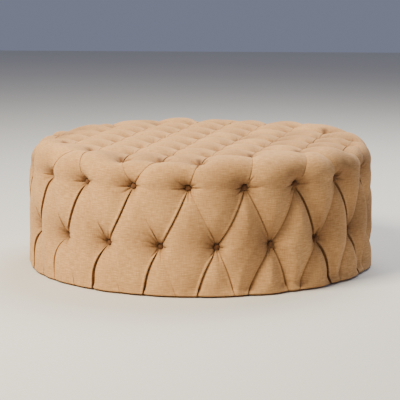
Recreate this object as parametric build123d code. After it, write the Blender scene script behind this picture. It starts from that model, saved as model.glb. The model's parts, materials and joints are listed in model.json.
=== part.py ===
from build123d import *
from math import atan2, ceil, cos, degrees, hypot, pi, radians, sin
import os

# A round ottoman used as a coffee table: a plywood frame, foam, and a deep-buttoned
# linen cover quilted over fibre wadding. Millimetres, +Z up, origin on the floor
# under the middle. Bearings run from -Y towards +X.

# Driving sizes of the whole ottoman
OVERALL_DIAMETER = 1168.0
OVERALL_HEIGHT = 432.0
SHOULDER_RADIUS = 76.0
FLOOR_GAP = 6.0
SOFT_GAP = 0.3

# Tufting: a square grid of buttons on the top and two staggered rows round the side
TOP_PITCH = 126.5
TOP_TURN = -10.3
RIM_MARGIN = 54.0
SIDE_BUTTONS = 20
UPPER_ROW_DROP = 94.0
LOWER_ROW_SHARE = 0.456
HEM_SPREAD = 0.29
WELL_SINK = 72.0
WELL_REACH = 20.5
TOP_PLEAT_SINK = 15.0
SIDE_PLEAT_SINK = 11.0
PLEAT_END_SINK = 10.0
HEM_SINK = 5.0
LEAN_WIDTH = 134.0

# How the cover rises from its pleats to its crests, and where its facets turn
CROWN_POWER = 2
PLEAT_POWER = 3
FACET_SHARE = 0.4

# The quilted cover
QUILT_THICKNESS = 50.0
HEM_WIDTH = 70.0
HEM_THICKNESS = 2.0

# The covered buttons, which sit in the wells
BUTTON_DIAMETER = 23.0
BUTTON_CROWN_DIAMETER = 12.0
BUTTON_HEIGHT = 7.0
BUTTON_SEAT_SINK = 30.0
BUTTON_SIDES = 8

# Tufting twine, its holes and the toggles that anchor it
TWINE_WIDTH = 2.0
TWINE_HOLE_WIDTH = 4.0
TWINE_SLACK = 0.5
HOLE_EDGE_DISTANCE = 16.0
TOGGLE_LENGTH = 30.0
TOGGLE_WIDTH = 6.0
TOGGLE_THICKNESS = 5.0

# Foam
TOP_FOAM_THICKNESS = 22.0
SIDE_FOAM_THICKNESS = 10.0

# Frame: a plywood deck and base ring, posts between them and a bent side panel
DECK_THICKNESS = 15.0
BASE_THICKNESS = 18.0
BASE_RING_WIDTH = 90.0
PANEL_THICKNESS = 5.0
PANEL_PIECES = 2
PANEL_SEAM = 1.0
FRAME_FIT = 0.3
POSTS = 8
POST_SIZE = 40.0
POST_TURN = 13.5

# Screws that hold the deck and the base ring to the posts
SCREW_WIDTH = 3.5
SCREW_LENGTH = 45.0
SCREW_HEAD_DIAMETER = 8.0
SCREW_HEAD_HEIGHT = 3.0
SCREW_FIT = 0.3

# Underside: a black dust cover, the crowns of its staples, and the nailed glides
DUST_COVER_THICKNESS = 0.8
DUST_COVER_MARGIN = 50.0
STAPLES = 36
STAPLE_LENGTH = 12.0
STAPLE_WIDTH = 1.2
STAPLE_THICKNESS = 0.6
STAPLE_EDGE_DISTANCE = 12.0
GLIDES = 6
GLIDE_TURN = 22.5
GLIDE_SIDES = 16
GLIDE_DIAMETER = 25.0
GLIDE_FOOT_DIAMETER = 19.0
GLIDE_RIM = 1.5
GLIDE_RECESS = 2.0
NAIL_WIDTH = 2.4
NAIL_HOLE_WIDTH = 3.0
NAIL_LENGTH = 15.0
NAIL_HEAD_WIDTH = 5.0
NAIL_HEAD_THICKNESS = 1.0

# Degrees in a turn
FULL_TURN = 360.0
HALF_TURN = FULL_TURN / 2

# Sizes that follow from these
CREST_RADIUS = OVERALL_DIAMETER / 2
TOP_REACH = CREST_RADIUS - RIM_MARGIN
UPPER_ROW_HEIGHT = OVERALL_HEIGHT - UPPER_ROW_DROP
LOWER_ROW_HEIGHT = UPPER_ROW_HEIGHT * LOWER_ROW_SHARE
LEAN_START = CREST_RADIUS - LEAN_WIDTH
FLAT_RADIUS = CREST_RADIUS - SHOULDER_RADIUS
SHOULDER_LENGTH = SHOULDER_RADIUS * pi / 2
SHOULDER_BOTTOM = OVERALL_HEIGHT - SHOULDER_RADIUS
SIDE_START = FLAT_RADIUS + SHOULDER_LENGTH
QUILT_RADIUS = CREST_RADIUS - QUILT_THICKNESS
QUILT_TOP = OVERALL_HEIGHT - QUILT_THICKNESS
QUILT_BEVEL = SHOULDER_RADIUS - QUILT_THICKNESS
HEM_TOP = FLOOR_GAP + HEM_THICKNESS
HEM_RADIUS = CREST_RADIUS - HEM_WIDTH
FRAME_BOTTOM = HEM_TOP + SOFT_GAP
BASE_TOP = FRAME_BOTTOM + BASE_THICKNESS
DECK_TOP = QUILT_TOP - TOP_FOAM_THICKNESS
DECK_BOTTOM = DECK_TOP - DECK_THICKNESS
PANEL_RADIUS = QUILT_RADIUS - SIDE_FOAM_THICKNESS
PANEL_INSIDE = PANEL_RADIUS - PANEL_THICKNESS
DECK_RADIUS = PANEL_INSIDE - FRAME_FIT
POST_RADIUS = DECK_RADIUS - POST_SIZE
PITCH_ANGLE = FULL_TURN / SIDE_BUTTONS
HOOP_SIDES = 2 * SIDE_BUTTONS
DUST_COVER_TOP = FLOOR_GAP - SOFT_GAP
DUST_COVER_BOTTOM = DUST_COVER_TOP - DUST_COVER_THICKNESS
DUST_COVER_RADIUS = CREST_RADIUS - DUST_COVER_MARGIN
GLIDE_RING_RADIUS = DECK_RADIUS - BASE_RING_WIDTH / 2


def bearing_point(radius, bearing, height):
    """The point at a radius, at a bearing in degrees from -Y towards +X."""
    turn = radians(bearing)
    return Vector(radius * sin(turn), -radius * cos(turn), height)


def drum(radius, low, high, taper=0.0):
    """An upright drum with one flat side behind each side button, to keep it light."""
    outline = RegularPolygon(radius, HOOP_SIDES, major_radius=False,
                             rotation=PITCH_ANGLE / 4)
    return extrude(Plane((0, 0, low)) * outline, amount=high - low, taper=taper)


def ring(inner, outer, low, high):
    return drum(outer, low, high) - drum(inner, low, high)


def square_bar(start, end, width):
    line = end - start
    return extrude(Plane(start, z_dir=line) * Rectangle(width, width), amount=line.length)


def polygon(*corners):
    return Face(Wire.make_polygon(corners, close=True))


def wedge(start, end):
    """All of the space round the middle from one bearing to another."""
    turns = [start + (end - start) * step / HOOP_SIDES for step in range(HOOP_SIDES + 1)]
    rim = [bearing_point(OVERALL_DIAMETER, turn, 0.0) for turn in turns]
    return extrude(polygon(Vector(0, 0, 0), *rim), amount=OVERALL_HEIGHT, dir=(0, 0, 1))


# The cover is laid out on a flat plan. A place on it is as far from the middle as it
# is along the crest surface: over the top, round the shoulder and down the side.

def plan_point(reach, bearing):
    turn = radians(bearing)
    return (reach * sin(turn), -reach * cos(turn))


def side_place(height, bearing):
    """The place at a height on the side."""
    return plan_point(SIDE_START + SHOULDER_BOTTOM - height, bearing)


def reach_and_bearing(place):
    return hypot(place[0], place[1]), degrees(atan2(place[0], -place[1]))


def on_side(place):
    return reach_and_bearing(place)[0] > SIDE_START


def lean_of(reach):
    """How far the cover's outward direction leans, from upright to level at the side."""
    share = min(max((reach - LEAN_START) / (SIDE_START - LEAN_START), 0.0), 1.0)
    return share ** 2 * pi / 2


def on_cover(place, sink):
    """The point of the cover over a place on the plan, sunk that far below the crests."""
    reach, bearing = reach_and_bearing(place)
    bend = min(max((reach - FLAT_RADIUS) / SHOULDER_RADIUS, 0.0), pi / 2)
    radius = min(reach, FLAT_RADIUS) + SHOULDER_RADIUS * sin(bend)
    height = SHOULDER_BOTTOM + SHOULDER_RADIUS * cos(bend) - max(reach - SIDE_START, 0.0)
    lean = lean_of(reach)
    return bearing_point(radius - sink * sin(lean), bearing, height - sink * cos(lean))


def outward(place):
    """The direction that a button at this place faces."""
    return (on_cover(place, 0.0) - on_cover(place, WELL_SINK)).normalized()


def signed_turn(bearing, start):
    return (bearing - start + HALF_TURN) % FULL_TURN - HALF_TURN


def straight(start, end, share):
    """A place part of the way between two places, in a straight line on the plan."""
    return tuple(a + (b - a) * share for a, b in zip(start, end))


def winding(start, end, share):
    """A place part of the way between two places, at a steady rate round the side."""
    reach_a, bearing_a = reach_and_bearing(start)
    reach_b, bearing_b = reach_and_bearing(end)
    turn = signed_turn(bearing_b, bearing_a) * share
    return plan_point(reach_a + (reach_b - reach_a) * share, bearing_a + turn)


# The places of the buttons

def grid_place(column, row):
    turn = radians(TOP_TURN)
    x, y = column * TOP_PITCH, row * TOP_PITCH
    return (x * cos(turn) - y * sin(turn), x * sin(turn) + y * cos(turn))


def top_grid():
    """Column and row of each button on the top."""
    most = ceil(TOP_REACH / TOP_PITCH)
    span = range(-most, most + 1)
    return {(c, r) for c in span for r in span if hypot(c, r) * TOP_PITCH <= TOP_REACH}


def upper_place(number):
    return side_place(UPPER_ROW_HEIGHT, number * PITCH_ANGLE)


def lower_place(number):
    return side_place(LOWER_ROW_HEIGHT, (number + 0.5) * PITCH_ANGLE)


def hem_place(number, side):
    """Where the pleat that leaves a lower button to one side meets the lower edge."""
    return side_place(FLOOR_GAP, (number + 0.5 + side * HEM_SPREAD) * PITCH_ANGLE)


def top_places():
    return [grid_place(*corner) for corner in sorted(top_grid())]


def upper_places():
    return [upper_place(number) for number in range(SIDE_BUTTONS)]


def lower_places():
    return [lower_place(number) for number in range(SIDE_BUTTONS)]


# The cells of the cover. A cell is a loop of corners: the corner's place, its sink,
# the sink halfway to the next corner, and how the pleat to the next corner runs.

def grid_squares(grid):
    """The corners of one square for each four neighbouring buttons of the top."""
    squares = []
    for column, row in sorted(grid):
        corners = [(column, row), (column + 1, row), (column + 1, row + 1), (column, row + 1)]
        if all(corner in grid for corner in corners):
            squares.append(corners)
    return squares


def rim_loop(squares):
    """The corners round the outside of the squares, in order."""
    edges = set()
    for corners in squares:
        edges.update(zip(corners, corners[1:] + corners[:1]))
    follow = {start: end for start, end in edges if (end, start) not in edges}
    loop = [min(follow)]
    while follow[loop[-1]] != loop[0]:
        loop.append(follow[loop[-1]])
    return loop


def turns_inward(before, corner, after):
    """Whether the outside of the squares turns inwards at a corner."""
    run = (corner[0] - before[0], corner[1] - before[1])
    turn = (after[0] - corner[0], after[1] - corner[1])
    return run[0] * turn[1] - run[1] * turn[0] < 0


def rim_links(loop):
    """Pairs of a corner of the loop and an upper side button that share a pleat."""
    bearings = {}
    for index, corner in enumerate(loop):
        if not turns_inward(loop[index - 1], corner, loop[(index + 1) % len(loop)]):
            bearings[index] = reach_and_bearing(grid_place(*corner))[1]
    links = set()
    for number in range(SIDE_BUTTONS):
        turns = {i: abs(signed_turn(bearings[i], number * PITCH_ANGLE)) for i in bearings}
        links.add((min(turns, key=turns.get), number))
    for index in bearings:
        if all(index != link[0] for link in links):
            links.add((index, round(bearings[index] / PITCH_ANGLE) % SIDE_BUTTONS))

    def order(link):
        shift = signed_turn(link[1] * PITCH_ANGLE, bearings[link[0]])
        return (bearings[link[0]] + shift / 2) % FULL_TURN

    return sorted(links, key=order)


def rim_cells(loop, links):
    """The cells between the squares of the top and the upper side buttons."""
    cells = []
    for (index, number), (next_index, next_number) in zip(links, links[1:] + links[:1]):
        steps = (next_index - index) % len(loop)
        corners = [grid_place(*loop[(index + step) % len(loop)]) for step in range(steps + 1)]
        cell = [(corner, WELL_SINK, TOP_PLEAT_SINK, straight) for corner in corners[:-1]]
        cell.append((corners[-1], WELL_SINK, SIDE_PLEAT_SINK, winding))
        if next_number != number:
            cell.append((upper_place(next_number), WELL_SINK, 0.0, winding))
        cell.append((upper_place(number), WELL_SINK, SIDE_PLEAT_SINK, winding))
        cells.append(cell)
    return cells


def side_cells():
    """The cells below the upper row: above, between and under the lower buttons."""
    cells = []
    for number in range(SIDE_BUTTONS):
        cells.append([
            (upper_place(number), WELL_SINK, 0.0, winding),
            (upper_place(number + 1), WELL_SINK, SIDE_PLEAT_SINK, winding),
            (lower_place(number), WELL_SINK, SIDE_PLEAT_SINK, winding),
        ])
        cells.append([
            (upper_place(number), WELL_SINK, SIDE_PLEAT_SINK, winding),
            (lower_place(number), WELL_SINK, SIDE_PLEAT_SINK, winding),
            (hem_place(number, -1), PLEAT_END_SINK, HEM_SINK, winding),
            (hem_place(number - 1, 1), PLEAT_END_SINK, SIDE_PLEAT_SINK, winding),
            (lower_place(number - 1), WELL_SINK, SIDE_PLEAT_SINK, winding),
        ])
        cells.append([
            (lower_place(number), WELL_SINK, SIDE_PLEAT_SINK, winding),
            (hem_place(number, 1), PLEAT_END_SINK, HEM_SINK, winding),
            (hem_place(number, -1), PLEAT_END_SINK, SIDE_PLEAT_SINK, winding),
        ])
    return cells


def cover_cells():
    squares = grid_squares(top_grid())
    loop = rim_loop(squares)
    cells = []
    for corners in squares:
        cells.append([(grid_place(*c), WELL_SINK, TOP_PLEAT_SINK, straight) for c in corners])
    return cells + rim_cells(loop, rim_links(loop)) + side_cells()


# The crowned facets of one cell

def crown(share):
    """How much of a pleat's sink is left part of the way up to the crest."""
    return (1.0 - share) ** CROWN_POWER


def edge_sink(corner_sink, pleat_sink, share):
    """The sink along a pleat, from a button to halfway along."""
    return pleat_sink + (corner_sink - pleat_sink) * (1.0 - share) ** PLEAT_POWER


def facet_shares(start, end):
    """The turns of the facets along a half pleat: the first is at the well's edge."""
    length = hypot(end[0] - start[0], end[1] - start[1])
    return (0.0, min(WELL_REACH / length, FACET_SHARE), 1.0)


def middle_of(cell):
    """The place of a cell's crest."""
    start = reach_and_bearing(cell[0][0])[1]
    if all(run is straight for _, _, _, run in cell):
        return tuple(sum(corner[0][axis] for corner in cell) / len(cell) for axis in (0, 1))
    spread = [reach_and_bearing(corner[0]) for corner in cell]
    reach = sum(reach for reach, _ in spread) / len(cell)
    turn = sum(signed_turn(bearing, start) for _, bearing in spread) / len(cell)
    return plan_point(reach, start + turn)


def between(corner, mid, crest, near, far, run):
    """A place inside the triangle of a corner, the middle of a pleat and the crest."""
    return run(corner, run(mid, crest, far / near), near)


def quarter_points(corner, sink, half_a, half_b, crest, run):
    """Rows of points of one corner's part of a cell, from the corner to the crest.

    half_a and half_b are the half pleats that meet at the corner: the place where
    each ends, its sink there and how it runs.
    """
    mid_a, sink_a, run_a = half_a
    mid_b, sink_b, run_b = half_b
    shares_a, shares_b = facet_shares(corner, mid_a), facet_shares(corner, mid_b)
    inner = (0.0, FACET_SHARE, 1.0)
    rows = []
    for i in range(len(inner)):
        row = []
        for j in range(len(inner)):
            u = shares_a[i] + (inner[i] - shares_a[i]) * inner[j]
            v = shares_b[j] + (inner[j] - shares_b[j]) * inner[i]
            if j == 0:
                place = run_a(corner, mid_a, u)
            elif i == 0:
                place = run_b(corner, mid_b, v)
            elif u > v:
                place = between(corner, mid_a, crest, u, v, run)
            else:
                place = between(corner, mid_b, crest, v, u, run)
            sunk = (crown(v) * edge_sink(sink, sink_a, u)
                    + crown(u) * edge_sink(sink, sink_b, v)
                    - crown(u) * crown(v) * sink)
            row.append(on_cover(place, sunk))
        rows.append(row)
    return rows


def cell_faces(cell):
    """The facets of one cell of the cover."""
    crest = middle_of(cell)
    run = straight if all(corner[3] is straight for corner in cell) else winding
    faces = []
    for index, (corner, sink, next_sink, next_run) in enumerate(cell):
        before, _, last_sink, last_run = cell[index - 1]
        after = cell[(index + 1) % len(cell)][0]
        half_a = (next_run(corner, after, 0.5), next_sink, next_run)
        half_b = (last_run(corner, before, 0.5), last_sink, last_run)
        rows = quarter_points(corner, sink, half_a, half_b, crest, run)
        for low, high in zip(rows, rows[1:]):
            for j in range(len(low) - 1):
                faces.append(polygon(low[j], low[j + 1], high[j + 1]))
                faces.append(polygon(low[j], high[j + 1], high[j]))
    return faces


# The cover

def quilt_hollow(clearance):
    """The space inside the cover, bevelled at its top, less a clearance."""
    radius, top = QUILT_RADIUS - clearance, QUILT_TOP - clearance
    straight_part = drum(radius, HEM_TOP + clearance, top - QUILT_BEVEL)
    return straight_part + drum(radius, top - QUILT_BEVEL, top, taper=45.0)


def hem_face(faces):
    """The face that closes the facets along their lower edge."""
    corners = {}
    for face in faces:
        for corner in face.vertices():
            if abs(corner.Z - FLOOR_GAP) < HEM_THICKNESS / 2:
                bearing = round(degrees(atan2(corner.X, -corner.Y)), 3)
                corners[bearing] = Vector(corner.X, corner.Y, FLOOR_GAP)
    return polygon(*[corners[key] for key in sorted(corners)])


def button_dent(place):
    """The room that a button presses into the wall of its well."""
    back = Plane(on_cover(place, BUTTON_SEAT_SINK + SOFT_GAP), z_dir=outward(place))
    outline = back * RegularPolygon(BUTTON_DIAMETER / 2 + SOFT_GAP, BUTTON_SIDES)
    return extrude(outline, amount=BUTTON_HEIGHT)


def make_cover():
    """Linen quilted over wadding: crowned cells between wells, turned under as a hem."""
    faces = [face for cell in cover_cells() for face in cell_faces(cell)]
    mound = Solid(Shell(faces + [hem_face(faces)]))
    rim = [place for place in top_places() if reach_and_bearing(place)[0] > FLAT_RADIUS]
    dents = [button_dent(place) for place in rim]
    return mound - quilt_hollow(0.0) - drum(HEM_RADIUS, 0.0, HEM_TOP) - dents


# Buttons, and their twine down to the toggles that anchor it

def make_button(place):
    """A covered button, which narrows from its back to its crown."""
    back = Plane(on_cover(place, BUTTON_SEAT_SINK), z_dir=outward(place))
    lean = atan2((BUTTON_DIAMETER - BUTTON_CROWN_DIAMETER) / 2, BUTTON_HEIGHT)
    outline = back * RegularPolygon(BUTTON_DIAMETER / 2, BUTTON_SIDES)
    return extrude(outline, amount=BUTTON_HEIGHT, taper=degrees(lean))


def twine_ends(place):
    """Where a button's twine leaves its back, and where it reaches its toggle."""
    start = on_cover(place, BUTTON_SEAT_SINK)
    bearing = reach_and_bearing(place)[1]
    if on_side(place):
        return start, bearing_point(PANEL_INSIDE, bearing, start.Z)
    hole = min(hypot(start.X, start.Y), DECK_RADIUS - HOLE_EDGE_DISTANCE)
    at_deck = bearing_point(hole, bearing, DECK_TOP)
    return start, at_deck + (at_deck - start) * (DECK_THICKNESS / (start.Z - DECK_TOP))


def make_twine(place):
    """The twine, just short of the button and the toggle that it is tied to."""
    start, end = twine_ends(place)
    slack = (end - start).normalized() * TWINE_SLACK
    return square_bar(start + slack, end - slack, TWINE_WIDTH)


def make_hole(place):
    """The hole that a button's twine takes through foam and plywood."""
    start, end = twine_ends(place)
    beyond = (end - start).normalized() * PANEL_THICKNESS
    return square_bar(start, end + beyond, TWINE_HOLE_WIDTH)


def make_toggle(place):
    """A small bar across the end of the twine, tight against the inside of the frame."""
    end = twine_ends(place)[1]
    bearing = reach_and_bearing(place)[1]
    inward = bearing_point(-1.0, bearing, 0.0) if on_side(place) else Vector(0, 0, -1)
    plane = Plane(end, x_dir=bearing_point(1.0, bearing + 90.0, 0.0), z_dir=inward)
    return extrude(plane * Rectangle(TOGGLE_LENGTH, TOGGLE_WIDTH), amount=TOGGLE_THICKNESS)


# Foam

def make_top_foam():
    """The pad on the deck, bevelled round its edge and holed for the twine."""
    below = drum(OVERALL_DIAMETER, 0.0, DECK_TOP + SOFT_GAP)
    return quilt_hollow(SOFT_GAP) - below - [make_hole(place) for place in top_places()]


def make_side_foam():
    """The foam wrapped round the side panel."""
    wrap = ring(PANEL_RADIUS + SOFT_GAP, QUILT_RADIUS - SOFT_GAP, FRAME_BOTTOM,
                QUILT_TOP - QUILT_BEVEL - SOFT_GAP)
    return wrap - [make_hole(place) for place in upper_places() + lower_places()]


# Plywood frame

def post_bearings():
    return [POST_TURN + number * FULL_TURN / POSTS for number in range(POSTS)]


def screw_shape(bearing, height, way, room):
    """A countersunk screw into a post, driven up or down from a height, with room round it."""
    start = bearing_point(POST_RADIUS + POST_SIZE / 2, bearing, height)
    head = Plane(start, z_dir=Vector(0, 0, way))
    lean = atan2((SCREW_HEAD_DIAMETER - SCREW_WIDTH) / 2, SCREW_HEAD_HEIGHT)
    width = SCREW_HEAD_DIAMETER + 2 * room
    cone = extrude(head * Rectangle(width, width), amount=SCREW_HEAD_HEIGHT,
                   taper=degrees(lean))
    width = SCREW_WIDTH + 2 * room
    neck = head.offset(SCREW_HEAD_HEIGHT)
    return cone + extrude(neck * Rectangle(width, width), amount=SCREW_LENGTH + room)


def deck_screw(bearing, room=0.0):
    return screw_shape(bearing, DECK_TOP, -1, room)


def base_screw(bearing, room=0.0):
    return screw_shape(bearing, FRAME_BOTTOM, 1, room)


def make_deck():
    """The round plywood top of the frame."""
    screws = [deck_screw(bearing, SCREW_FIT) for bearing in post_bearings()]
    holes = [make_hole(place) for place in top_places()]
    return drum(DECK_RADIUS, DECK_BOTTOM, DECK_TOP) - holes - screws


def make_base_ring():
    """The plywood ring that the posts stand on."""
    screws = [base_screw(bearing, SCREW_FIT) for bearing in post_bearings()]
    nails = [nail_hole(bearing) for bearing in glide_bearings()]
    return ring(DECK_RADIUS - BASE_RING_WIDTH, DECK_RADIUS, FRAME_BOTTOM,
                BASE_TOP) - screws - nails


def make_post(bearing):
    """An upright between the base ring and the deck, just clear of the side panel."""
    middle = bearing_point(POST_RADIUS + POST_SIZE / 2, bearing, BASE_TOP)
    plane = Plane(middle, x_dir=bearing_point(1.0, bearing, 0.0), z_dir=(0, 0, 1))
    post = extrude(plane * Rectangle(POST_SIZE, POST_SIZE), amount=DECK_BOTTOM - BASE_TOP)
    return post - deck_screw(bearing, SCREW_FIT) - base_screw(bearing, SCREW_FIT)


def panel_seam(number):
    """The bearing of a seam of the side panel, over the post nearest an even division."""
    return POST_TURN + round(number * POSTS / PANEL_PIECES) * FULL_TURN / POSTS


def make_panel(number):
    """One bent piece of the side panel, from seam to seam."""
    gap = degrees(PANEL_SEAM / PANEL_RADIUS) / 2
    piece = ring(PANEL_INSIDE, PANEL_RADIUS, FRAME_BOTTOM, DECK_TOP)
    piece &= wedge(panel_seam(number) + gap, panel_seam(number + 1) - gap)
    return piece - [make_hole(place) for place in upper_places() + lower_places()]


# Underside

def glide_bearings():
    return [GLIDE_TURN + number * FULL_TURN / GLIDES for number in range(GLIDES)]


def make_dust_cover():
    nails = [nail_hole(bearing) for bearing in glide_bearings()]
    return drum(DUST_COVER_RADIUS, DUST_COVER_BOTTOM, DUST_COVER_TOP) - nails


def make_staple(number):
    """The crown of one staple, flat against the dust cover."""
    bearing = number * FULL_TURN / STAPLES
    middle = bearing_point(DUST_COVER_RADIUS - STAPLE_EDGE_DISTANCE, bearing,
                           DUST_COVER_BOTTOM)
    plane = Plane(middle, x_dir=bearing_point(1.0, bearing + 90.0, 0.0), z_dir=(0, 0, -1))
    return extrude(plane * Rectangle(STAPLE_LENGTH, STAPLE_WIDTH), amount=STAPLE_THICKNESS)


def glide_ring(bearing, radius, height):
    """The corners of a glide's outline at one height."""
    middle = bearing_point(GLIDE_RING_RADIUS, bearing, 0.0)
    turns = [number * FULL_TURN / GLIDE_SIDES for number in range(GLIDE_SIDES)]
    return [middle + bearing_point(radius, turn, height) for turn in turns]


def make_glide(bearing):
    """A nylon glide: a low round foot, narrower where it stands, sunk for its nail."""
    rings = [
        glide_ring(bearing, GLIDE_FOOT_DIAMETER / 2, 0.0),
        glide_ring(bearing, GLIDE_DIAMETER / 2, DUST_COVER_BOTTOM - GLIDE_RIM),
        glide_ring(bearing, GLIDE_DIAMETER / 2, DUST_COVER_BOTTOM),
    ]
    faces = [polygon(*rings[0]), polygon(*rings[-1])]
    for low, high in zip(rings, rings[1:]):
        for k in range(GLIDE_SIDES):
            faces.append(polygon(low[k - 1], low[k], high[k], high[k - 1]))
    seat = bearing_point(GLIDE_RING_RADIUS, bearing, 0.0)
    top = seat + Vector(0, 0, GLIDE_RECESS)
    recess = square_bar(seat, top, NAIL_HEAD_WIDTH + 2 * SOFT_GAP)
    return Solid(Shell(faces)) - recess - nail_hole(bearing)


def make_nail(bearing):
    """The nail that holds a glide to the base ring."""
    seat = bearing_point(GLIDE_RING_RADIUS, bearing, GLIDE_RECESS)
    up = Vector(0, 0, 1)
    shank = square_bar(seat, seat + up * NAIL_LENGTH, NAIL_WIDTH)
    return shank + square_bar(seat - up * NAIL_HEAD_THICKNESS, seat, NAIL_HEAD_WIDTH)


def nail_hole(bearing):
    start = bearing_point(GLIDE_RING_RADIUS, bearing, 0.0)
    return square_bar(start, start + Vector(0, 0, GLIDE_RECESS + NAIL_LENGTH + SOFT_GAP),
                      NAIL_HOLE_WIDTH)


# The whole ottoman

def save(name, solids):
    export_step(solids, f"parts/{name}.step")


def save_group(name, solids):
    save(name, Compound(children=[solid.solid() for solid in solids]))


os.makedirs("parts", exist_ok=True)
rows = {"top": top_places(), "upper": upper_places(), "lower": lower_places()}

save("tufted_cover", make_cover())
save("top_foam", make_top_foam())
save("side_foam", make_side_foam())
save("deck", make_deck())
save("base_ring", make_base_ring())
for number in range(PANEL_PIECES):
    save(f"side_panel_{number + 1}", make_panel(number))
for number, bearing in enumerate(post_bearings()):
    save(f"post_{number + 1}", make_post(bearing))
for row, places in rows.items():
    save_group(f"{row}_buttons", [make_button(place) for place in places])
    save_group(f"{row}_twine", [make_twine(place) for place in places])
    save_group(f"{row}_toggles", [make_toggle(place) for place in places])
save_group("deck_screws", [deck_screw(bearing) for bearing in post_bearings()])
save_group("base_screws", [base_screw(bearing) for bearing in post_bearings()])
save("dust_cover", make_dust_cover())
save_group("dust_cover_staples", [make_staple(number) for number in range(STAPLES)])
for number, bearing in enumerate(glide_bearings()):
    save(f"glide_{number + 1}", make_glide(bearing))
save_group("glide_nails", [make_nail(bearing) for bearing in glide_bearings()])
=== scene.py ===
import json
from math import atan2, ceil, cos, degrees, hypot, pi, radians, sin

import bmesh
import bpy
import numpy as np
from mathutils import Euler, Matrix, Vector


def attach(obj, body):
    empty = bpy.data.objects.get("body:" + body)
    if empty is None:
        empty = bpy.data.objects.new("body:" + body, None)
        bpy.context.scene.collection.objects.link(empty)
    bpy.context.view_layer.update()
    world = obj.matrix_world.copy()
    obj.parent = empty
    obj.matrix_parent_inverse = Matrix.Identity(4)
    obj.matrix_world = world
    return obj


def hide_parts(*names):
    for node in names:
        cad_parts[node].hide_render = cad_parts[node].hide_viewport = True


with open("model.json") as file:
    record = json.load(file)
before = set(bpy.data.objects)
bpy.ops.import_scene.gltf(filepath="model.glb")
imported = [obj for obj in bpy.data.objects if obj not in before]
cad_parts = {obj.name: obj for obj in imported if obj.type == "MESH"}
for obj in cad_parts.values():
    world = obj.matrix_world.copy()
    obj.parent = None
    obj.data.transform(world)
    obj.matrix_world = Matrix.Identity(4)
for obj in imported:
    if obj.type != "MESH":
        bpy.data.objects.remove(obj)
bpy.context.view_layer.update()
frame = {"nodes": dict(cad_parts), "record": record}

# A round ottoman with a deep-buttoned linen cover. Lengths are in metres, +Z is up and
# the origin is on the floor under the middle. Bearings run in degrees from -Y towards
# +X, and an inner place is nearer the middle of the top than an outer one.

# Sizes of the cover and places of the buttons, the same as the frame's own
CREST_RADIUS = 0.584
OVERALL_HEIGHT = 0.432
SHOULDER_RADIUS = 0.076
FLOOR_GAP = 0.006
TOP_PITCH = 0.1265
TOP_TURN = -10.3
TOP_REACH = 0.530
SIDE_BUTTONS = 20
UPPER_ROW_HEIGHT = 0.338
LOWER_ROW_HEIGHT = 0.154
LEAN_START = 0.450
HEM_WIDTH = 0.070
HEM_SPREAD = 0.29

FULL_TURN = 360.0
HALF_TURN = FULL_TURN / 2
FLAT_RADIUS = CREST_RADIUS - SHOULDER_RADIUS
SIDE_START = FLAT_RADIUS + SHOULDER_RADIUS * pi / 2
SHOULDER_BOTTOM = OVERALL_HEIGHT - SHOULDER_RADIUS
PITCH_ANGLE = FULL_TURN / SIDE_BUTTONS
RIM_ROW_REACH = FLAT_RADIUS - TOP_PITCH / 4
FLAT_FOLD_REACH = FLAT_RADIUS - TOP_PITCH / 3

# Folds, wells and painted shade differ round the ottoman by bearing, as on the photographed
# side, and stay on the cloth. These are that side's middle, how far from it the back begins,
# the share to the right that the back has, and the ranges of bearing from that middle
# over which the linen changes to the right, at the far right and at the far left.
PHOTO_BEARING = 4.0
BEHIND = 110.0
BACK_SHARE = 0.5
RIGHT_RANGE = (-5.0, 25.0)
FAR_RANGE = (22.0, 47.0)
LEFT_RANGE = (-10.0, -45.0)

# Covered buttons
BUTTON_RADIUS = 0.0095
BUTTON_HEIGHT = 0.0070
BUTTON_BACK = 0.005
BUTTON_SINK = 0.0355
BUTTON_SIDES = 24
BUTTON_RINGS = 7
BUTTON_CROWN_POWER = 0.7
# Painted shade that darkens each whole button, as the shadow of its well does
BUTTON_SHADE = 0.92

# Wells: how far the linen sinks at the buttons, and how the wells open
SEAT_SINK = 0.042
MOST_SINK = 0.045
WELL_START = 0.0070
WELL_FALL = {"top": 0.0200, "rim": 0.0330, "upper": 0.0240, "lower": 0.0220}
WELL_STEEP_SHARE = 0.42
WELL_STEEP_FALL = 0.0035
RIGHT_WELL = 0.40
WELL_LEAN = 0.30
LEAN_DOWN = 0.6
LEAST_DISTANCE = 0.0001

# A shade from 0 to 1 darkens the linen's colour in its depths, tuned against the
# photograph. This is the shade in the wells, and on the inner walls of those at the rim
# of the photographed side.
# This shade is painted shadow, multiplied into the linen's colour and added to the shadows that
# the lights cast on the relief. In the wells it leans in from each button and to its left (to
# its right at the far right), and spreads wider towards the right of the photographed side,
# following where shadows fall; on the inner walls of the rim wells it darkens slopes that the
# lights reach.
WELL_SHADE_POWER = 0.92
RIGHT_SHADE_POWER = 0.30
RIM_SHADE_POWER = 0.85
WELL_SHADE_LEAN = 0.58
NOTCH_SHADE = 0.90
NOTCH_WIDTH = 0.009
NOTCH_FLARE = 0.22
NOTCH_TURN = 12.0
NOTCH_MOST_TURN = 40.0
NOTCH_START = 0.010
NOTCH_FADE = (0.030, 0.074)

# Gathers that run out of a well: the random ones, and those that each row always has,
# as angle, reach, more reach at the right, strength and more strength at the right
SEED = 7
SEED_STEP = 7919
PLACES_PER_METRE = 1e4
WRINKLES = 8
WRINKLE_TURN = 0.4
WRINKLE_REACH = (0.032, 0.058)
WRINKLE_STRENGTH = (0.2, 1.0)
WRINKLE_SINK = 0.0120
WRINKLE_WIDTH = 0.0026
WRINKLE_START = 0.004
WRINKLE_POWER = 0.8
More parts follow.
